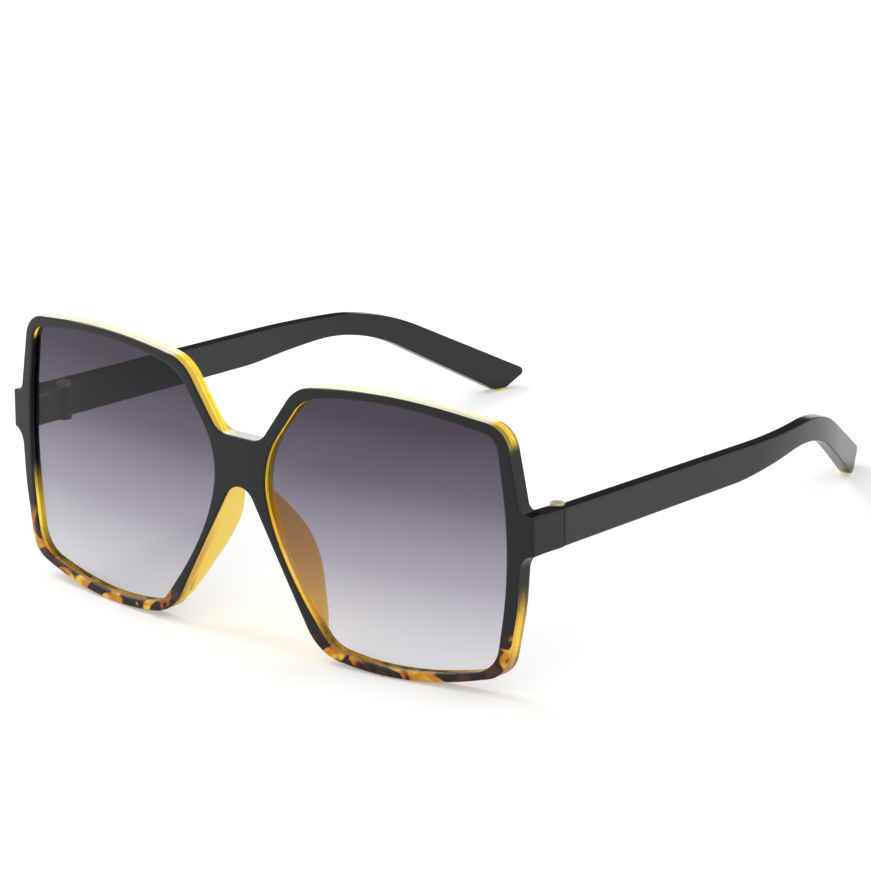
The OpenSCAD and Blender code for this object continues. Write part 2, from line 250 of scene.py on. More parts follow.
def halfOutline():
    rim = front["rimWidth"]
    bridgeTop = front["archHeight"] + front["bridgeHeight"]
    rootX = noseX + front["eyeWidth"]
    corners = [(Vector((0, bridgeTop)), 0, 0),
               (Vector((noseX - front["bridgeCorner"] * rim, bridgeTop)), *front["bridgeRound"])]
    corners += [rimCorner(row) for row in front["brow"]]
    upperRoot, lowerRoot = (rootX + share * rim for share in front["endpieceRoot"])
    notchTop = foldTop + front["notchRise"] * temple["height"]
    spots = [(upperRoot, notchTop), (foldX, foldTop), (foldX, foldFoot), (lowerRoot, foldFoot)]
    corners += [(Vector(spot), *shares) for spot, shares in zip(spots, front["endpieceRounds"])]
    corners += [rimCorner(row) for row in front["cheek"]]
    arch = Vector((front["archCorner"] * front["bridgeGap"], front["archHeight"]))
    corners += [(arch, *front["archRound"]), (Vector((0, front["archHeight"])), 0, 0)]
    return roundedLoop(corners)


def flipped(points):
    return [Vector((-p.x, p.y)) for p in reversed(points)]


# Mesh helpers

def roundedEdge(radius, edge, inner, steps=3):
    # steps of inset and depth round one edge, from its flat side to its wall
    points = []
    for k in range(steps + 1):
        a = pi / 2 * k / steps
        points.append((radius * (1 - sin(a)), edge + (inner - edge) * (1 - cos(a))))
    return points


def plateProfile(thickness, radius, steps=3):
    faceEdge = roundedEdge(radius, 0, radius, steps)
    backEdge = roundedEdge(radius, thickness, thickness - radius, steps)
    return faceEdge + backEdge[::-1]


def ofKind(geometry, kind):
    return [g for g in geometry if isinstance(g, kind)]


def newMesh(name, bm):
    mesh = bpy.data.meshes.new(name)
    bm.to_mesh(mesh)
    bm.free()
    return mesh


def newObject(name, data):
    made = bpy.data.objects.new(name, data)
    bpy.context.scene.collection.objects.link(made)
    return made


def newPiece():
    bm = bmesh.new()
    bm.verts.layers.int.new("place")
    return bm


def wallAlong(bm, points, into, profile):
    # a closed wall drawn from one outline, whose edges are extruded from step to step of the
    # profile; into is -1 for an outline and 1 for a hole. Gives the first and the last ring
    place = bm.verts.layers.int["place"]
    normals = []
    for i, p in enumerate(points):
        nu, nv = waysOut(points[i - 1], p, points[(i + 1) % len(points)])
        # the limit keeps sharp corners from reaching too far
        normals.append((nu + nv) / max(1 + nu.dot(nv), detail["cornerLimit"]) * into)
    verts = []
    for i, p in enumerate(points):
        verts.append(bm.verts.new((p.x, 0, p.y)))
        verts[-1][place] = i
    edges = [bm.edges.new(pair) for pair in zip(verts, verts[1:] + verts[:1])]
    first = edges
    for step, (inset, depth) in enumerate(profile):
        if step > 0:
            made = bmesh.ops.extrude_edge_only(bm, edges=edges)["geom"]
            verts = ofKind(made, BMVert)
            new = set(verts)
            edges = [e for e in ofKind(made, BMEdge) if set(e.verts) <= new]
        for v in verts:
            spot = points[v[place]] + normals[v[place]] * inset
            v.co = (spot.x, depth, spot.y)
    return first, edges


def capOver(bm, edges):
    return ofKind(bmesh.ops.triangle_fill(bm, use_beauty=True, edges=edges)["geom"], BMFace)


def makePlate(points, thickness, radius, steps=3):
    # a flat plate with rounded edges: x and z from the outline, y through its thickness
    bm = newPiece()
    first, last = wallAlong(bm, points, -1, plateProfile(thickness, radius, steps))
    capOver(bm, first)
    capOver(bm, last)
    return bm


def cutPlane(bm, faces, place, normal):
    # the faces cut along a plane; gives back all their pieces
    corners = list({v for f in faces for v in f.verts})
    edges = list({e for f in faces for e in f.edges})
    made = bmesh.ops.bisect_plane(bm, geom=corners + edges + faces, dist=detail["merge"],
                                  plane_co=place, plane_no=normal)
    return ofKind(made["geom"], BMFace)


def cutEvery(bm, step):
    # cuts across x, so that the plate can bend smoothly
    low = min(v.co.x for v in bm.verts)
    high = max(v.co.x for v in bm.verts)
    count = int((high - low) / step)
    for i in range(1, count + 1):
        cutPlane(bm, bm.faces[:], (low + (high - low) * i / (count + 1), 0, 0), (1, 0, 0))


def finishPiece(bm, name, materials, body, replaced, sharpFrom=detail["sharpFrom"]):
    bmesh.ops.remove_doubles(bm, verts=bm.verts[:], dist=detail["merge"])
    bmesh.ops.recalc_face_normals(bm, faces=bm.faces[:])
    if bm.calc_volume(signed=True) < 0:
        bmesh.ops.reverse_faces(bm, faces=bm.faces[:])
    for face in bm.faces:
        face.smooth = True
    for edge in bm.edges:
        edge.smooth = edge.calc_face_angle(0) < radians(sharpFrom)
    mesh = newMesh(name, bm)
    for material in materials:
        mesh.materials.append(material)
    piece = newObject(name, mesh)
    weighted = piece.modifiers.new("evenShading", "WEIGHTED_NORMAL")
    weighted.keep_sharp = True
    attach(piece, body)
    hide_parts(*replaced)
    return piece


# Materials

def newMaterial(name):
    material = bpy.data.materials.new(name)
    material.use_nodes = True
    tree = material.node_tree
    return material, tree, tree.nodes["Principled BSDF"]


def link(tree, a, b):
    tree.links.new(a, b)


def mathNode(tree, operation, a, b=None):
    node = tree.nodes.new("ShaderNodeMath")
    node.operation = operation
    for i, value in enumerate((a, b)):
        if value is None:
            continue
        if isinstance(value, (int, float)):
            node.inputs[i].default_value = value
        else:
            link(tree, value, node.inputs[i])
    return node.outputs[0]


def product(tree, *values):
    result = values[0]
    for value in values[1:]:
        result = mathNode(tree, "MULTIPLY", result, value)
    return result


def ramp(tree, value, low, high, smooth=True):
    # 0 at low and before, 1 at high and beyond; low may be the larger one
    node = tree.nodes.new("ShaderNodeMapRange")
    node.interpolation_type = "SMOOTHSTEP" if smooth else "LINEAR"
    link(tree, value, node.inputs["Value"])
    node.inputs["From Min"].default_value = low
    node.inputs["From Max"].default_value = high
    return node.outputs["Result"]


def mixColour(tree, share, a, b):
    node = tree.nodes.new("ShaderNodeMix")
    node.data_type = "RGBA"
    # the node also has sockets for numbers and vectors; these are the ones for colours
    for socket, value in ((node.inputs[0], share), (node.inputs[6], a), (node.inputs[7], b)):
        if isinstance(value, (int, float, tuple)):
            socket.default_value = value
        else:
            link(tree, value, socket)
    return node.outputs[2]


def noise(tree, vector, scale, layers=2, distortion=0):
    # scale is a number or a socket
    node = tree.nodes.new("ShaderNodeTexNoise")
    link(tree, vector, node.inputs["Vector"])
    if isinstance(scale, (int, float)):
        node.inputs["Scale"].default_value = scale
    else:
        link(tree, scale, node.inputs["Scale"])
    node.inputs["Detail"].default_value = layers
    node.inputs["Distortion"].default_value = distortion
    return node.outputs["Fac"]


def rgb(r, g, b):
    # a colour as it is seen, 0 to 255, made linear for the shader
    def linear(c):
        c /= 255
        return c / 12.92 if c <= 0.04045 else ((c + 0.055) / 1.055) ** 2.4
    return (linear(r), linear(g), linear(b), 1)


def splitAxes(tree, vector):
    split = tree.nodes.new("ShaderNodeSeparateXYZ")
    link(tree, vector, split.inputs[0])
    return split.outputs


def objectPlace(tree):
    place = tree.nodes.new("ShaderNodeTexCoord").outputs["Object"]
    return place, splitAxes(tree, place)


def turnedTo(tree):
    # the way the surface faces, along x, y and z
    return splitAxes(tree, tree.nodes.new("ShaderNodeNewGeometry").outputs["Normal"])


noLight = (0, 0, 0, 1)

def newGroup(name, inputs, outputs):
    # inputs and outputs give each socket's kind by its name
    tree = bpy.data.node_groups.new(name, "ShaderNodeTree")
    for way, sockets in (("INPUT", inputs), ("OUTPUT", outputs)):
        for label, kind in sockets.items():
            tree.interface.new_socket(label, in_out=way, socket_type="NodeSocket" + kind)
    return tree, tree.nodes.new("NodeGroupInput"), tree.nodes.new("NodeGroupOutput")


tortoise = {
    "brown": rgb(150, 74, 0),
    "amber": rgb(206, 132, 0),
    "yellow": rgb(250, 202, 60),
    "dark": rgb(24, 6, 4),
    "lightDark": rgb(76, 36, 4),
    "patchScale": 150,
    "distortion": 0.6,
    # shift and stretch of the noise behind each layer of the pattern
    "patches": ((0.66, 0.05, 0.9), (0.9, 1, 1.1)),
    "paleness": ((0.77, 0.52, 0.93), (1.3, 1.3, 1.8)),
    "depth": ((0.2, 0.7, 0.4), (2, 2, 2)),
    # levels of the noise between which one colour passes into the next
    "palenessFrom": (0.42, 0.58),
    "brownFrom": (0.45, 0.505),
    "depthFrom": (0.36, 0.5),
    "darkFrom": (0.49, 0.512),
    "blackDownTo": 9 * mm,   # the print is plain black above this height
    "outerRise": 7 * mm,   # how much higher it ends at the outer sides
    "outerFrom": (52 * mm, 68 * mm),
    "fade": 5 * mm,
    "wobble": 8 * mm,
    "wobbleScale": 120,
}


def makeTortoiseGroup():
    # colour of tortoiseshell patches, from a place and a patch scale
    tree, groupIn, groupOut = newGroup(
        "tortoisePatches", {"Place": "Vector", "Scale": "Float"}, {"Colour": "Color"})

    def layer(name):
        offset, stretch = tortoise[name]
        move = tree.nodes.new("ShaderNodeMapping")
        link(tree, groupIn.outputs["Place"], move.inputs["Vector"])
        move.inputs["Location"].default_value = offset
        move.inputs["Scale"].default_value = stretch
        scale = groupIn.outputs["Scale"]
        return noise(tree, move.outputs["Vector"], scale, 1.5, tortoise["distortion"])

    # each patch is dark with a brown rim, and the plastic between runs from amber to yellow
    height = layer("patches")
    paintedTopHighlight = ramp(tree, layer("paleness"), *tortoise["palenessFrom"])
    base = mixColour(tree, paintedTopHighlight, tortoise["amber"], tortoise["yellow"])
    base = mixColour(tree, ramp(tree, height, *tortoise["brownFrom"]), base, tortoise["brown"])
    deep = ramp(tree, layer("depth"), *tortoise["depthFrom"])
    dark = mixColour(tree, deep, tortoise["lightDark"], tortoise["dark"])
    colour = mixColour(tree, ramp(tree, height, *tortoise["darkFrom"]), base, dark)
    link(tree, colour, groupOut.inputs["Colour"])
    return tree


# polish of each finish: roughness, how much the haze adds to it, and the marks' strength
polish = {
    "face": (0.09, 0.06, 0.02),
    "honey": (0.06, 0.08, 0.03),
    "pad": (0.3, 0.12, 0.05),
    "temple": (0.1, 0.07, 0.02),
    "brass": (0.34, 0.12, 0.1),
    "steel": (0.3, 0.12, 0.1),
    "hazeScale": 60,
    "markScale": 900,
    "markDepth": 0.05 * mm,
}


def makePolishGroup():
    # faint polishing marks and handling haze: a height for the bump and a roughness
    tree, groupIn, groupOut = newGroup(
        "polishedSurface", {"Place": "Vector", "Base Roughness": "Float", "Haze": "Float"},
        {"Roughness": "Float", "Height": "Float"})
    place = groupIn.outputs["Place"]
    cloud = noise(tree, place, polish["hazeScale"], 3)
    spread = mathNode(tree, "MULTIPLY", cloud, groupIn.outputs["Haze"])
    rough = mathNode(tree, "ADD", groupIn.outputs["Base Roughness"], spread)
    link(tree, rough, groupOut.inputs["Roughness"])
    link(tree, noise(tree, place, polish["markScale"]), groupOut.inputs["Height"])
    return tree


tortoiseGroup = makeTortoiseGroup()
polishGroup = makePolishGroup()


def addPolish(tree, shader, place, finish):
    roughness, haze, marks = polish[finish]
    group = tree.nodes.new("ShaderNodeGroup")
    group.node_tree = polishGroup
    link(tree, place, group.inputs["Place"])
    group.inputs["Base Roughness"].default_value = roughness
    group.inputs["Haze"].default_value = haze
    link(tree, group.outputs["Roughness"], shader.inputs["Roughness"])
    bump = tree.nodes.new("ShaderNodeBump")
    bump.inputs["Strength"].default_value = marks
    bump.inputs["Distance"].default_value = polish["markDepth"]
    link(tree, group.outputs["Height"], bump.inputs["Height"])
    link(tree, bump.outputs["Normal"], shader.inputs["Normal"])


def addPatches(tree, place):
    group = tree.nodes.new("ShaderNodeGroup")
    group.node_tree = tortoiseGroup
    link(tree, place, group.inputs["Place"])
    group.inputs["Scale"].default_value = tortoise["patchScale"]
    return group.outputs["Colour"]


gloss = {
    "black": (0.003, 0.0045, 0.0036, 1),
    "browner": (0.006, 0.006, 0.004, 1),
    "faceIor": 1.44,
    "templeIor": 1.55,
    "cloudScale": 30,
    # the honey plastic is painted black this far out, this high up and this far below the top
    "sideFrom": (66.6 * mm, 67.4 * mm),
    "sideAbove": (15 * mm, 26 * mm),
    "sideBelow": (57 * mm, 54.5 * mm),
    # the temples' paint ends this low and this far back
    "bareBelow": (0.9 * mm, 0.4 * mm),
    "bareBehind": (70 * mm, 72 * mm),
}


def paintOutside(tree, axes, colour, paint):
    # black paint round the outer sides, above and below the endpieces, and into the openings there
    aside = ramp(tree, mathNode(tree, "ABSOLUTE", axes["X"]), *gloss["sideFrom"])
    above = ramp(tree, axes["Z"], *gloss["sideAbove"])
    below = ramp(tree, axes["Z"], *gloss["sideBelow"])
    return mixColour(tree, product(tree, aside, above, below), colour, paint)


def makePrintedFace():
    material, tree, shader = newMaterial("printedFace")
    place, axes = objectPlace(tree)
    wobble = product(tree, noise(tree, place, tortoise["wobbleScale"]), tortoise["wobble"])
    # the print ends higher at the outer corners than beside the nose
    aside = ramp(tree, mathNode(tree, "ABSOLUTE", axes["X"]), *tortoise["outerFrom"])
    rise = product(tree, aside, tortoise["outerRise"])
    height = mathNode(tree, "SUBTRACT", mathNode(tree, "ADD", axes["Z"], wobble), rise)
    low = tortoise["blackDownTo"]
    black = ramp(tree, height, low, low + tortoise["fade"])
    colour = mixColour(tree, black, addPatches(tree, place), gloss["black"])
    link(tree, colour, shader.inputs["Base Color"])
    shader.inputs["IOR"].default_value = gloss["faceIor"]
    addPolish(tree, shader, place, "face")
    return material


honey = {
    "clear": rgb(255, 230, 96),
    "deep": rgb(250, 204, 40),
    # painted highlight on the top walls
    "paintedTopHighlight": rgb(250, 248, 242),
    "glow": rgb(166, 184, 198),   # painted glow: emitted light standing in for light gathered inside, where it leaves at the top walls
    "inside": rgb(92, 78, 14),   # painted glow at the other walls
    "nearNose": rgb(124, 107, 20),   # painted glow, stronger where the walls are steep and the plastic broad
    "noseFrom": (48 * mm, 36 * mm),
    "cloudScale": 45,
    "ior": 1.49,
    "clearness": 0.82,
    # the painted highlight on the top walls: how high, how much they face up and at what angle they
    # are seen
    "topFrom": (38 * mm, 44 * mm),
    "upFrom": (0.3, 0.6),
    "lowAngleFrom": (0.46, 0.66),
    # the tortoise pattern shows through at the foot
    "footFrom": (13 * mm, 5 * mm),
    "footShare": 0.85,
}


def makeHoneyPlastic():
    material, tree, shader = newMaterial("honeyPlastic")
    place, axes = objectPlace(tree)
    cloud = noise(tree, place, honey["cloudScale"])
    body = mixColour(tree, cloud, honey["clear"], honey["deep"])
    # painted highlight: the top walls, facing up and seen at a low angle, are painted nearly white
    # where the white room lights them
    facing = tree.nodes.new("ShaderNodeLayerWeight").outputs["Facing"]
    clear = product(tree, ramp(tree, facing, *honey["lowAngleFrom"]),
                    ramp(tree, axes["Z"], *honey["topFrom"]),
                    ramp(tree, turnedTo(tree)["Z"], *honey["upFrom"]))
    body = mixColour(tree, clear, body, honey["paintedTopHighlight"])
    foot = product(tree, ramp(tree, axes["Z"], *honey["footFrom"]), honey["footShare"])
    tinted = mixColour(tree, foot, body, addPatches(tree, place))
    link(tree, paintOutside(tree, axes, tinted, gloss["black"]), shader.inputs["Base Color"])
    # painted glow: the walls emit light, stronger near the nose and at the top walls, none at the
    # foot or where painted black
    nearNose = ramp(tree, mathNode(tree, "ABSOLUTE", axes["X"]), *honey["noseFrom"])
    glow = mixColour(tree, nearNose, honey["inside"], honey["nearNose"])
    glow = mixColour(tree, clear, glow, honey["glow"])
    glow = mixColour(tree, foot, glow, noLight)
    link(tree, paintOutside(tree, axes, glow, noLight), shader.inputs["Emission Color"])
    shader.inputs["Emission Strength"].default_value = 1
    shader.inputs["IOR"].default_value = honey["ior"]
    shader.inputs["Transmission Weight"].default_value = honey["clearness"]
    addPolish(tree, shader, place, "honey")
    return material


padTint = {
    "light": rgb(246, 222, 96),
    "deep": rgb(240, 200, 66),
    "cloudScale": 55,
    "root": rgb(176, 98, 16),   # where the pad grows out of the rim, near the face
    "rootShare": 0.85,
    "rootFrom": (-74.5 * mm, -78.5 * mm),
    "rootLean": -0.07,   # the line moves back by this share of the height
    "rootBelow": (30 * mm, 16 * mm),
    "paintedLightToLens": rgb(255, 204, 112),   # painted light: the side that is turned to the lens is painted a warmer orange
    "toLensFrom": (0.1, 0.7),
    # painted glow: emitted light standing in for light from behind, through the wing
    "glow": rgb(108, 96, 20),
    "glowToLens": rgb(150, 112, 40),
    "milkiness": 0.35,
    "lightReach": (4 * mm, 2 * mm, 0.6 * mm),
}


def makePadPlastic():
    material, tree, shader = newMaterial("padPlastic")
    place, axes = objectPlace(tree)
    cloud = noise(tree, place, padTint["cloudScale"])
    body = mixColour(tree, cloud, padTint["light"], padTint["deep"])
    depth = mathNode(tree, "ADD", axes["Y"], product(tree, axes["Z"], padTint["rootLean"]))
    root = product(tree, ramp(tree, depth, *padTint["rootFrom"]),
                   ramp(tree, axes["Z"], *padTint["rootBelow"]), padTint["rootShare"])
    colour = mixColour(tree, root, body, padTint["root"])
    # painted light: the side turned to the lens gets a warmer colour and a stronger painted glow
    outward = product(tree, turnedTo(tree)["X"], mathNode(tree, "SIGN", axes["X"]))
    paintedLightToLens = ramp(tree, outward, *padTint["toLensFrom"])
    link(tree, mixColour(tree, paintedLightToLens, colour, padTint["paintedLightToLens"]), shader.inputs["Base Color"])
    glow = mixColour(tree, paintedLightToLens, padTint["glow"], padTint["glowToLens"])
    link(tree, glow, shader.inputs["Emission Color"])
    shader.inputs["Emission Strength"].default_value = 1
    shader.inputs["IOR"].default_value = honey["ior"]
    shader.inputs["Subsurface Weight"].default_value = padTint["milkiness"]
    shader.inputs["Subsurface Radius"].default_value = padTint["lightReach"]
    shader.inputs["Subsurface Scale"].default_value = 1
    addPolish(tree, shader, place, "pad")
    return material


def makeTemplePlastic():
    material, tree, shader = newMaterial("templePlastic")
    place, axes = objectPlace(tree)
    cloud = noise(tree, place, gloss["cloudScale"])
    colour = mixColour(tree, cloud, gloss["black"], gloss["browner"])
    # the paint stops short of the tip's lowest corner and leaves the honey plastic bare
    low = ramp(tree, axes["Z"], *gloss["bareBelow"])
    behind = ramp(tree, axes["Y"], *gloss["bareBehind"])
    bare = product(tree, low, behind)
    link(tree, mixColour(tree, bare, colour, honey["clear"]), shader.inputs["Base Color"])
    shader.inputs["IOR"].default_value = gloss["templeIor"]
    addPolish(tree, shader, place, "temple")
    return material


lens = {
    "thickness": 1.6 * mm,
    "recess": 1.4 * mm,
    "groove": 0.9 * mm,   # how deep the rim takes its edge
    "gap": 0.05 * mm,
    "edgeRound": 0.15 * mm,
    "edgeSteps": 2,
    # the tint from the foot up: each colour, and the heights between which it comes
    "foot": rgb(250, 250, 255),
    "tints": [
        (rgb(176, 171, 185), 2 * mm, 24 * mm),
        (rgb(106, 99, 115), 24 * mm, 44 * mm),
        (rgb(74, 65, 79), 44 * mm, 58 * mm),
    ],
    "lowAngle": 0.7,   # the tint is deeper where the lens is looked through at a low angle
    "wobble": 1 * mm,
    "wobbleScale": 25,
    "ior": 1.3,
    "roughness": 0.01,
}


def makeLensTint():
    material, tree, shader = newMaterial("lensTint")
    place, axes = objectPlace(tree)
    wobble = product(tree, noise(tree, place, lens["wobbleScale"], 1), lens["wobble"])
    height = mathNode(tree, "ADD", axes["Z"], wobble)
    colour = lens["foot"]
    for tint, low, high in lens["tints"]:
        colour = mixColour(tree, ramp(tree, height, low, high, smooth=False), colour, tint)
    facing = tree.nodes.new("ShaderNodeLayerWeight").outputs["Facing"]
    colour = mixColour(tree, product(tree, facing, lens["lowAngle"]), colour, noLight)
    link(tree, colour, shader.inputs["Base Color"])
    shader.inputs["Transmission Weight"].default_value = 1
    shader.inputs["IOR"].default_value = lens["ior"]
    shader.inputs["Roughness"].default_value = lens["roughness"]
    return material


# colours of the metals: where they are bright, where they are dull, and their painted shade below
# the knuckles' tops
metal = {
    "brass": (rgb(250, 240, 206), rgb(236, 220, 172), rgb(84, 70, 52)),
    "steel": (rgb(238, 232, 212), rgb(206, 198, 172), rgb(70, 66, 60)),
    "cloudScale": 700,
    "paintedShadeBelow": (39.4 * mm, 38.6 * mm),   # the painted shade starts just under the tops of the knuckles
    "metallic": 0.45,
}


def makeMetal(name, finish):
    material, tree, shader = newMaterial(name)
    place, axes = objectPlace(tree)
    bright, dull, paintedShade = metal[finish]
    colour = mixColour(tree, noise(tree, place, metal["cloudScale"], 3), bright, dull)
    # painted shade: the metal turns dark below the tops of the knuckles
    colour = mixColour(tree, ramp(tree, axes["Z"], *metal["paintedShadeBelow"]), colour, paintedShade)
    link(tree, colour, shader.inputs["Base Color"])
    shader.inputs["Metallic"].default_value = metal["metallic"]
    addPolish(tree, shader, place, finish)
    return material


printedFace = makePrintedFace()
honeyPlastic = makeHoneyPlastic()
padPlastic = makePadPlastic()
templePlastic = makeTemplePlastic()
lensTint = makeLensTint()
leafBrass = makeMetal("leafBrass", "brass")
screwSteel = makeMetal("screwSteel", "steel")
print("materials made")


# The front: a flat plate with two openings, endpieces pulled out of its back, then bent

def openingProfile():
    # the wall of a lens opening: rounded face edge, the groove of the lens, rounded back edge
    low = lens["recess"] - lens["gap"]
    high = lens["recess"] + lens["thickness"] + lens["gap"]
    depth = front["rimDepth"]
    r = front["backRound"]
    back = roundedEdge(r, depth, depth - r, front["backSteps"])
    groove = [(0, low), (lens["groove"], low), (lens["groove"], high), (0, high)]
    return roundedEdge(front["edgeRound"], 0, front["edgeRound"]) + groove + back[::-1]


def pullEndpiece(bm, back, side):
    # the part of the plate's back between the endpiece's edges, pulled out to the hinge seam
    back = cutPlane(bm, back, (side * endInner, 0, 0), (1, 0, 0))
    outside = [f for f in back if side * f.calc_center_median().x > endInner]
    rest = [f for f in back if side * f.calc_center_median().x < endInner]
    outside = cutPlane(bm, outside, (0, 0, foldTop), (0, 0, 1))
    outside = cutPlane(bm, outside, (0, 0, foldFoot), (0, 0, 1))
    chosen = [f for f in outside if foldFoot < f.calc_center_median().z < foldTop]
    rest += [f for f in outside if not foldFoot < f.calc_center_median().z < foldTop]
    pulled = bmesh.ops.extrude_face_region(bm, geom=chosen)["geom"]
    moved = ofKind(pulled, BMVert)
    bmesh.ops.delete(bm, geom=chosen, context="FACES")   # they would stay as a wall inside
    bmesh.ops.translate(bm, verts=moved, vec=(0, endPull, 0))
    return rest


def bendFront(bm):
    # the curve of the front, the rounded folds, and the endpieces drawn to the temples' ends
    depth = front["rimDepth"]
    foldRound = endpiece["foldRound"]
    margin = endpiece["foldMargin"]
    foot, top = templeEdgesAt(seamY)
    for v in bm.verts:
        x, d, z = v.co
        y = sag(x, min(d, depth))
        past = abs(x) - (foldX - foldRound)
        if past > 0 and foldFoot - margin < z < foldTop + margin:
            folded = sag(foldX - foldRound) + foldRound - sqrt(max(foldRound ** 2 - past ** 2, 0))
            y = max(y, folded)
        if d > depth + detail["slack"]:
            share = (d - depth) / endPull
            outward = (abs(x) - endInner) / (foldX - endInner)
            up = (z - foldFoot) / (foldTop - foldFoot)
            endX = (endInner + outward * (seamX - endInner)) * (1 if x > 0 else -1)
            x += (endX - x) * share
            y += (seamY - y) * share
            z += (foot + up * (top - foot) - z) * share
        v.co = (x, y, z)


def makeFront():
    bm = newPiece()
    half = halfOutline()
    outline = half + flipped(half[1:-1])
    opening = roundedLoop(openingCorners())
    edge = roundedEdge(front["edgeRound"], 0, front["edgeRound"])
    firstRings, lastRings = [], []
    for points, into, profile in ((outline, -1, edge + [(0, front["rimDepth"])]),
                                  (opening, 1, openingProfile()),
                                  (flipped(opening), 1, openingProfile())):
        first, last = wallAlong(bm, points, into, profile)
        firstRings += first
        lastRings += last
    capOver(bm, firstRings)
    back = capOver(bm, lastRings)
    for side in (1, -1):
        back = pullEndpiece(bm, back, side)
    faceTo = front["edgeRound"] - detail["slack"]
    endpieceFrom = front["rimDepth"] + detail["slack"]
    for f in bm.faces:
        # the face and the endpieces are printed, and the walls and the back are honey plastic
        f.material_index = 1 if faceTo <= f.calc_center_median().y <= endpieceFrom else 0
    cutEvery(bm, front["bendStep"])
    cuts = endpiece["foldCuts"]
    for i in range(1, cuts + 1):
        for side in (1, -1):
            place = side * (foldX - endpiece["foldRound"] * i / cuts)
            cutPlane(bm, bm.faces[:], (place, 0, 0), (1, 0, 0))
    bendFront(bm)
    bmesh.ops.transform(bm, matrix=standing, verts=bm.verts[:])
    finishPiece(bm, "frontMoulding", [printedFace, honeyPlastic], "front", ["front_frame"])


makeFront()
print("front made")


# Nose pads: a flat wing, rounded all round, laid along the rim beside the nose

pad = {
    "reach": 11.9 * mm,
    "length": 38.3 * mm,
    "thickness": 2 * mm,
    "splay": 4,   # degrees
    "root": 0.5 * mm,
    "flareFrom": 3.3 * mm,   # depth from which the wing leaves the rim
    "proud": 0.06 * mm,   # how far its nose side stands off the rim's
    "edgeRound": 0.9 * mm,
    "edgeSteps": 5,
    "cornerSteps": 12,
    # corners of the wing: out and down in its own reach and length, and the rounding's shares
    "wing": [(0.57, 0.09, 0.4, 0.3), (1.13, 0.46, 0.45, 0.42), (0.46, 0.98, 0.35, 0.5)],
    "rootEnds": (0.02, 1.07),
    "bendStep": 1.2 * mm,
    "sharpFrom": 60,
}


def noseEdge():
    # the rim's edge beside the nose, from the arch to the foot, and its length up to each point
    half = halfOutline()
    below = front["archHeight"] + detail["slack"]
    low = [p for p in half if p.y <= below and p.x < front["noseSide"]]
    points = low[::-1][1:]
    lengths = [0]
    for a, b in zip(points, points[1:]):
        lengths.append(lengths[-1] + (b - a).length)
    return points, lengths


def alongEdge(points, lengths, distance):
    i = 1
    while i < len(points) - 1 and lengths[i] < distance:
        i += 1
    a, b = points[i - 1], points[i]
    t = (distance - lengths[i - 1]) / (lengths[i] - lengths[i - 1])
    direction = (b - a).normalized()
    return a + (b - a) * t, direction


def makePad(side):
    corners = [(Vector((pad["rootEnds"][0] * pad["length"], pad["root"])), 0, 0)]
    corners += [(Vector((t * pad["length"], q * pad["reach"])), a, b) for q, t, a, b in pad["wing"]]
    corners += [(Vector((pad["rootEnds"][1] * pad["length"], pad["root"])), 0, 0)]
    wing = roundedLoop(corners, pad["cornerSteps"])
    bm = makePlate(wing, pad["thickness"], pad["edgeRound"], pad["edgeSteps"])
    cutEvery(bm, pad["bendStep"])
    points, lengths = noseEdge()
    for v in bm.verts:
        t, s, q = v.co
        base, direction = alongEdge(points, lengths, t)
        inward = Vector((direction.y, -direction.x))
        if inward.x < 0:
            inward = -inward
        flare = max(q - pad["flareFrom"], 0) * tan(radians(pad["splay"]))
        spot = base + inward * (s + flare - pad["proud"])
        v.co = (side * spot.x, sag(base.x) + q, spot.y)
    bmesh.ops.transform(bm, matrix=standing, verts=bm.verts[:])
    name = "nosePadLeft" if side > 0 else "nosePadRight"
    finishPiece(bm, name, [padPlastic], "front", ["front_frame"], pad["sharpFrom"])


for side in (1, -1):
    makePad(side)
print("nose pads made")


# Lenses: a plate in the groove of the rim, bent with it

def makeLens(side):
    loop = roundedLoop(grownCorners(openingCorners(), lens["groove"] - lens["gap"]))
    if side < 0:
        loop = flipped(loop)
    bm = makePlate(loop, lens["thickness"], lens["edgeRound"], lens["edgeSteps"])
    bmesh.ops.translate(bm, verts=bm.verts[:], vec=(0, lens["recess"], 0))
    cutEvery(bm, front["bendStep"])
    for v in bm.verts:
        v.co.y = sag(v.co.x, v.co.y)
    bmesh.ops.transform(bm, matrix=standing, verts=bm.verts[:])
    name = "lens_left" if side > 0 else "lens_right"
    label = "tintedLensLeft" if side > 0 else "tintedLensRight"
    finishPiece(bm, label, [lensTint], "front", [name])


for side in (1, -1):
    makeLens(side)
print("lenses made")


# Temples: a flat plate with the side view's outline, bent inwards behind the ear

def templePlan():
    turn = Vector((seamX - temple["turnInset"], seamY + temple["turnPlace"]))
    start = Vector((seamX, seamY))
    end = Vector((seamX - temple["tipInset"], seamY + temple["reach"] * temple["planReach"]))
    corners = [(start, 0, 0), (turn, *temple["turnRound"]), (end, 0, 0)]
    return roundedLoop(corners, temple["turnSteps"])


def planAt(plan, y):
    i = 1
    while i < len(plan) - 1 and plan[i].y < y:
        i += 1
    a, b = plan[i - 1], plan[i]
    direction = (b - a).normalized()
    return a.x + (b.x - a.x) * (y - a.y) / (b.y - a.y), direction.y


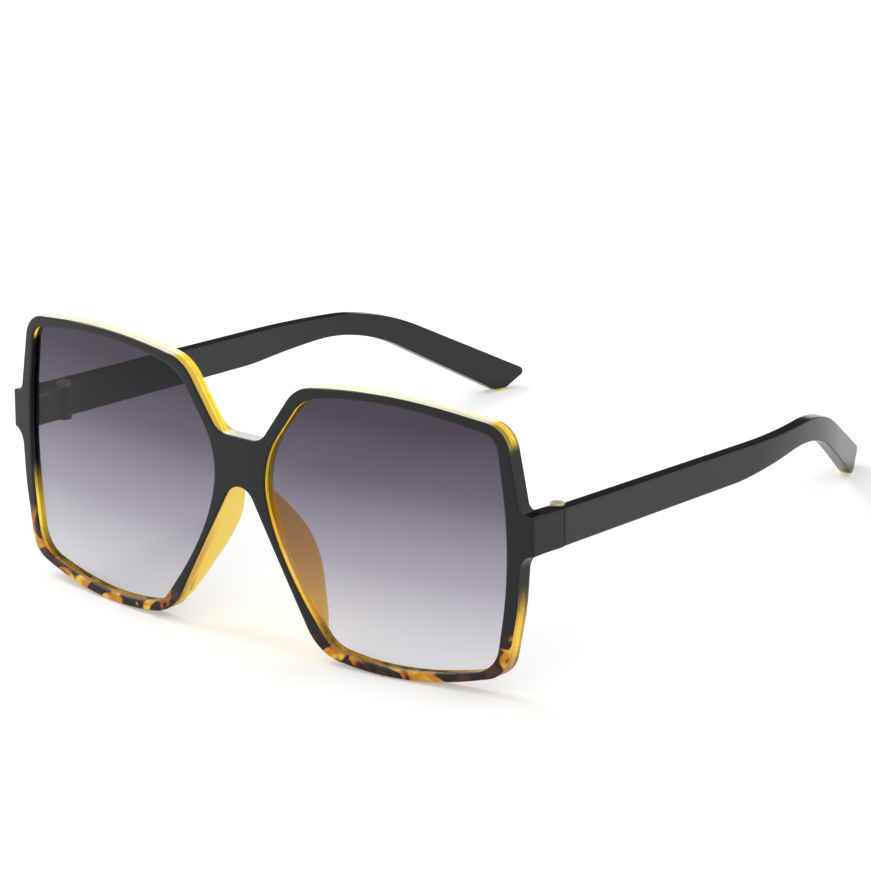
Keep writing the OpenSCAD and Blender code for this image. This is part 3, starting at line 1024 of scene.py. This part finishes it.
def makeTemple(side):
    startY = seamY + endpiece["seamGap"]
    loop = roundedLoop(sideCorners, temple["cornerSteps"])
    outline = [Vector((max(p.x, startY), p.y)) for p in loop]
    bm = makePlate(outline, temple["thickness"], temple["edgeRound"])
    cutEvery(bm, temple["bendStep"])
    plan = templePlan()
    for v in bm.verts:
        y, s, z = v.co
        outerX, lean = planAt(plan, y)
        v.co = (side * (outerX - s / lean), y, z)
    bmesh.ops.transform(bm, matrix=standing, verts=bm.verts[:])
    word = "Left" if side > 0 else "Right"
    body = "left_temple" if side > 0 else "right_temple"
    node = "temple_left" if side > 0 else "temple_right"
    piece = finishPiece(bm, "temple" + word, [templePlastic], body, [node])
    cutNotch(piece, side)


def cutNotch(piece, side):
    # room for the barrel and the front leaf at the temple's inner front corner
    bm = bmesh.new()
    radius = hinge["notchRadius"]
    tall = temple["height"] * 2
    bmesh.ops.create_cone(bm, cap_ends=True, segments=hinge["notchSides"],
                          radius1=radius, radius2=radius, depth=tall)
    bmesh.ops.translate(bm, verts=bm.verts[:], vec=(side * hinge["axisX"], axisY, hinge["height"]))
    bmesh.ops.transform(bm, matrix=standing, verts=bm.verts[:])
    cutter = newObject("notchCutter", newMesh("notchCutter", bm))
    cut = piece.modifiers.new("notch", "BOOLEAN")
    cut.object = cutter
    cut.operation = "DIFFERENCE"
    cut.solver = "EXACT"
    bpy.context.view_layer.update()
    evaluated = piece.evaluated_get(bpy.context.evaluated_depsgraph_get())
    finished = bpy.data.meshes.new_from_object(evaluated)
    piece.modifiers.remove(cut)
    piece.data = finished
    bpy.data.objects.remove(cutter)


for side in (1, -1):
    makeTemple(side)
print("temples made")


# Hinges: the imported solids, with their edges broken

def dressMetal(name, material):
    piece = nodes[name]
    piece.data.materials.clear()
    piece.data.materials.append(material)
    weld = piece.modifiers.new("weld", "WELD")
    weld.merge_threshold = hinge["weldFrom"]
    bevel = piece.modifiers.new("brokenEdges", "BEVEL")
    bevel.width = hinge["edgeRound"]
    bevel.segments = hinge["edgeSteps"]
    bevel.limit_method = "ANGLE"
    bevel.angle_limit = radians(hinge["edgeFrom"])


for name in nodes:
    if "screw" in name:
        dressMetal(name, screwSteel)
    elif "leaf" in name:
        dressMetal(name, leafBrass)
print("hinges dressed")


# Stage: a white floor that keeps the shadows, white surroundings and one soft lamp

stage = {
    "floorSize": 6,
    "floorColour": (0.9, 0.9, 0.89, 1),
    "floorRoughness": 0.9,
    "floorLift": 0.26,   # light added to the floor where the camera sees it, so that it turns white
    "surroundings": 0.92,
    "dimSide": (-0.613, 0.705, 0.357),   # direction of the dim part of the room
    "dimIn": 18,   # degrees from it, inside which it is darkest
    "dimOut": 46,
    "dimLevel": 0.06,
    "lampPower": 3.2,
    "lampSize": 0.5,
    "lampPlace": (-0.7, 0.05, 0.75),
}


def seenDirectly(tree):
    # 1 for the camera, and through the glass and the clear plastic
    path = tree.nodes.new("ShaderNodeLightPath").outputs
    return mathNode(tree, "MAXIMUM", path["Is Camera Ray"], path["Is Transmission Ray"])


def makeFloor():
    bm = bmesh.new()
    bmesh.ops.create_grid(bm, x_segments=1, y_segments=1, size=stage["floorSize"] / 2)
    floor = newObject("floor", newMesh("floor", bm))
    material, tree, shader = newMaterial("floorWhite")
    shader.inputs["Base Color"].default_value = stage["floorColour"]
    shader.inputs["Roughness"].default_value = stage["floorRoughness"]
    shader.inputs["Specular IOR Level"].default_value = 0
    shader.inputs["Emission Color"].default_value = (1, 1, 1, 1)
    lift = product(tree, seenDirectly(tree), stage["floorLift"])
    link(tree, lift, shader.inputs["Emission Strength"])
    floor.data.materials.append(material)


def makeSurroundings():
    # white all round but for one dim part of the room behind, which keeps the black tops black
    world = bpy.data.worlds.new("whiteRoom")
    bpy.context.scene.world = world
    world.use_nodes = True
    tree = world.node_tree
    background = tree.nodes["Background"]
    background.inputs["Color"].default_value = (1, 1, 1, 1)
    coords = tree.nodes.new("ShaderNodeTexCoord")
    turn = tree.nodes.new("ShaderNodeVectorMath")
    turn.operation = "DOT_PRODUCT"
    link(tree, coords.outputs["Generated"], turn.inputs[0])
    turn.inputs[1].default_value = stage["dimSide"]
    dimTo, darkTo = (cos(radians(stage[key])) for key in ("dimOut", "dimIn"))
    dim = ramp(tree, turn.outputs["Value"], dimTo, darkTo)
    level = product(tree, dim, stage["dimLevel"] - stage["surroundings"])
    level = mathNode(tree, "ADD", level, stage["surroundings"])
    link(tree, mathNode(tree, "MAXIMUM", level, seenDirectly(tree)), background.inputs["Strength"])


def makeLamp():
    light = bpy.data.lights.new("softLamp", "AREA")
    light.energy = stage["lampPower"]
    light.size = stage["lampSize"]
    lamp = newObject("softLamp", light)
    lamp.location = stage["lampPlace"]
    lamp.rotation_euler = (-Vector(stage["lampPlace"])).to_track_quat("-Z", "Y").to_euler()


makeFloor()
makeSurroundings()
makeLamp()

camera = {
    "azimuth": 41,
    "elevation": 20.866,
    "roll": -3.524,
    "lens": 254.95,
    "sensor": 36,
    "farClip": 20,
    "distance": 1392.4 * mm,
    "target": (1.811 * mm, -12.755 * mm, 27.322 * mm),
}


def makeCamera():
    # back points from the object to the camera; across and up are its axes before the roll
    a, e, r = (radians(camera[key]) for key in ("azimuth", "elevation", "roll"))
    back = Vector((sin(a) * cos(e), -cos(a) * cos(e), sin(e)))
    across = Vector((cos(a), sin(a), 0))
    up = back.cross(across)
    right = across * cos(r) + up * sin(r)
    top = up * cos(r) - across * sin(r)
    data = bpy.data.cameras.new("photoCamera")
    data.lens = camera["lens"]
    data.sensor_width = camera["sensor"]
    data.clip_end = camera["farClip"]
    view = newObject("photoCamera", data)
    place = Vector(camera["target"]) + back * camera["distance"]
    turn = Matrix((right, top, back)).transposed().to_4x4()
    view.matrix_world = Matrix.Translation(place) @ turn
    bpy.context.scene.camera = view


makeCamera()
bpy.context.scene.view_settings.view_transform = "Standard"
print("stage, lamp and camera made")
